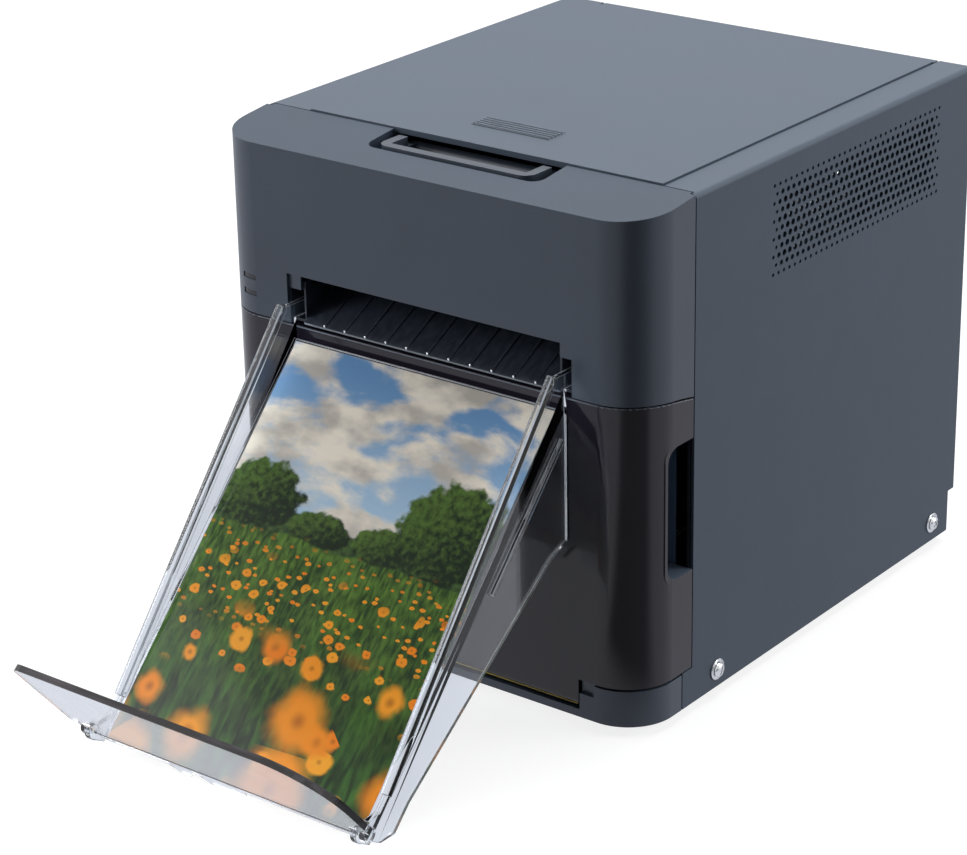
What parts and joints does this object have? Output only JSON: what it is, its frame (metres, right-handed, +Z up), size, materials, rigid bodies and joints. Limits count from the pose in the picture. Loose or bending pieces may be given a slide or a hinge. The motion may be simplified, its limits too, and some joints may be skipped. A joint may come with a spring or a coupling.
{
  "type": "compact photo printer",
  "caption": "Compact desktop photo printer with a smoked front door, a clear print tray with a folding stop, a hinged lid with a pull handle, and perforated side covers.",
  "frame": {"origin": "On the surface the printer stands on, under the middle of its bounding box", "axes": "+X to the right seen from the front, +Y from the front to the back, +Z up"},
  "size_m": [0.205, 0.3824, 0.2065],
  "materials": {
    "sheet_dark": "matte",
    "rubber": "matte",
    "shell_front": "fine texture",
    "shell_top": "fine texture",
    "black_plastic": "satin",
    "smoked": "glossy, see-through",
    "steel": "satin",
    "bright": "polished",
    "bright_plastic": "glossy",
    "zinc": "satin",
    "clear": "clear",
    "print_gloss": "glossy paper",
    "paper": "paper",
    "ivory": "satin",
    "brass": "satin",
    "alloy": "satin",
    "ribbon": "glossy film",
    "board": "satin"
  },
  "bodies": {
    "casing": {"base_pan": "sheet_dark", "rubber_feet": "rubber", "front_chin": "shell_front", "front_bezel": "shell_front", "exit_guide": "black_plastic", "indicator_lights": "smoked", "lid_hinge_pins": "steel", "right_side_cover": "shell_top", "left_side_cover": "shell_top", "side_screws": "bright", "side_washers": "bright", "rear_cover": "shell_top", "rear_screws": "bright", "power_inlet": "black_plastic", "data_port": "bright", "switch_housing": "black_plastic", "fan_frame": "black_plastic", "fan_screws": "steel", "left_frame": "zinc", "right_frame": "zinc", "tie_rods": "steel", "drive_motor": "zinc", "head_shaft": "steel", "cutter_rail": "steel", "cutter_bar": "steel", "main_board": "board", "board_posts": "brass", "power_supply": "zinc"},
    "lid_body": {"lid": "shell_top"},
    "handle_body": {"release_handle": "shell_front", "latch_hooks": "steel", "latch_shaft": "steel"},
    "switch_rocker": {"power_switch": "black_plastic"},
    "fan_body": {"fan_rotor": "bright_plastic"},
    "door_body": {"front_door": "smoked"},
    "tray_body": {"print_tray": "clear", "photo_print": "print_gloss"},
    "stop_body": {"tray_stop": "clear"},
    "paper_body": {"paper_roll": "paper", "roll_flanges": "black_plastic", "roll_shaft": "steel"},
    "platen_body": {"platen_roller": "rubber", "platen_gear": "ivory"},
    "feed_body": {"feed_roller": "steel", "feed_gear": "ivory"},
    "feed_idler_body": {"feed_idler_gear": "ivory"},
    "idler_body": {"idler_gear": "ivory"},
    "pinion_body": {"motor_pinion": "brass"},
    "pinch_body": {"pinch_roller": "rubber"},
    "exit_body": {"exit_roller": "rubber"},
    "star_body": {"exit_star_wheels": "black_plastic"},
    "head_body": {"thermal_head": "black_plastic", "head_heat_sink": "alloy", "head_arms": "zinc"},
    "carriage_body": {"cutter_carriage": "black_plastic"},
    "blade_body": {"cutter_blade": "bright"},
    "supply_body": {"supply_spool": "ribbon"},
    "takeup_body": {"takeup_spool": "ribbon"}
  },
  "joints": [
    {"name": "lid_hinge", "type": "hinge", "parent": "casing", "child": "lid_body", "pos_m": [0.0025, 0.17379, 0.199], "axis": [1, 0, 0], "range_deg": [-75, 0]},
    {"name": "handle_pull", "type": "hinge", "parent": "casing", "child": "handle_body", "pos_m": [0.0025, 0.00019, 0.197], "axis": [1, 0, 0], "range_deg": [-18, 0], "stiffness_Nm_per_rad": 0.12},
    {"name": "door_hinge", "type": "hinge", "parent": "casing", "child": "door_body", "pos_m": [0.0025, -0.03461, 0.011], "axis": [1, 0, 0], "range_deg": [0, 85]},
    {"name": "tray_off", "type": "slide", "parent": "casing", "child": "tray_body", "axis": [0, -1, 0], "range_m": [0, 0.182]},
    {"name": "stop_fold", "type": "hinge", "parent": "tray_body", "child": "stop_body", "pos_m": [0.0025, -0.15934, 0.00992], "axis": [1, 0, 0], "range_deg": [-72, 5]},
    {"name": "fan_spin", "type": "hinge", "parent": "casing", "child": "fan_body", "pos_m": [0.096, 0.07919, 0.176], "axis": [1, 0, 0], "continuous": true},
    {"name": "switch_rock", "type": "hinge", "parent": "casing", "child": "switch_rocker", "pos_m": [0.024, 0.18539, 0.046], "axis": [1, 0, 0], "range_deg": [0, 14]},
    {"name": "platen_spin", "type": "hinge", "parent": "casing", "child": "platen_body", "pos_m": [0.0025, 0.06919, 0.141], "axis": [1, 0, 0], "continuous": true},
    {"name": "feed_spin", "type": "hinge", "parent": "casing", "child": "feed_body", "pos_m": [0.0025, 0.04519, 0.144], "axis": [1, 0, 0], "continuous": true},
    {"name": "feed_idler_spin", "type": "hinge", "parent": "casing", "child": "feed_idler_body", "pos_m": [-0.0805, 0.05315, 0.132], "axis": [1, 0, 0], "continuous": true},
    {"name": "idler_spin", "type": "hinge", "parent": "casing", "child": "idler_body", "pos_m": [-0.0805, 0.09403, 0.13481], "axis": [1, 0, 0], "continuous": true},
    {"name": "motor_spin", "type": "hinge", "parent": "casing", "child": "pinion_body", "pos_m": [-0.0775, 0.11183, 0.12761], "axis": [1, 0, 0], "continuous": true},
    {"name": "pinch_spin", "type": "hinge", "parent": "casing", "child": "pinch_body", "pos_m": [0.0025, 0.04519, 0.1553], "axis": [1, 0, 0], "continuous": true},
    {"name": "exit_spin", "type": "hinge", "parent": "casing", "child": "exit_body", "pos_m": [0.0025, 0.00219, 0.145], "axis": [1, 0, 0], "continuous": true},
    {"name": "star_spin", "type": "hinge", "parent": "casing", "child": "star_body", "pos_m": [0.0025, 0.00219, 0.1553], "axis": [1, 0, 0], "continuous": true},
    {"name": "head_lift", "type": "hinge", "parent": "casing", "child": "head_body", "pos_m": [0.0025, 0.10319, 0.186], "axis": [1, 0, 0], "range_deg": [-6, 0]},
    {"name": "cutter_travel", "type": "slide", "parent": "casing", "child": "carriage_body", "axis": [1, 0, 0], "range_m": [0, 0.136]},
    {"name": "blade_spin", "type": "hinge", "parent": "carriage_body", "child": "blade_body", "pos_m": [-0.0655, 0.01969, 0.158], "axis": [0, 1, 0], "continuous": true},
    {"name": "roll_spin", "type": "hinge", "parent": "casing", "child": "paper_body", "pos_m": [0.0025, 0.05619, 0.066], "axis": [1, 0, 0], "continuous": true},
    {"name": "supply_spin", "type": "hinge", "parent": "casing", "child": "supply_body", "pos_m": [0.0025, 0.12119, 0.16], "axis": [1, 0, 0], "continuous": true},
    {"name": "takeup_spin", "type": "hinge", "parent": "casing", "child": "takeup_body", "pos_m": [0.0025, 0.02719, 0.181], "axis": [1, 0, 0], "continuous": true}
  ],
  "couplings": [
    {"joint": "tray_off", "follows": "door_hinge", "m_per_rad": 0.122},
    {"joint": "feed_spin", "follows": "platen_spin", "ratio": 1.5},
    {"joint": "feed_idler_spin", "follows": "platen_spin", "ratio": -1.875},
    {"joint": "idler_spin", "follows": "platen_spin", "ratio": -0.88235},
    {"joint": "motor_spin", "follows": "platen_spin", "ratio": 2.1429},
    {"joint": "pinch_spin", "follows": "platen_spin", "ratio": -1.8},
    {"joint": "star_spin", "follows": "exit_spin", "ratio": -1},
    {"joint": "takeup_spin", "follows": "supply_spin", "ratio": 1.5},
    {"joint": "blade_spin", "follows": "cutter_travel", "rad_per_m": 119}
  ]
}
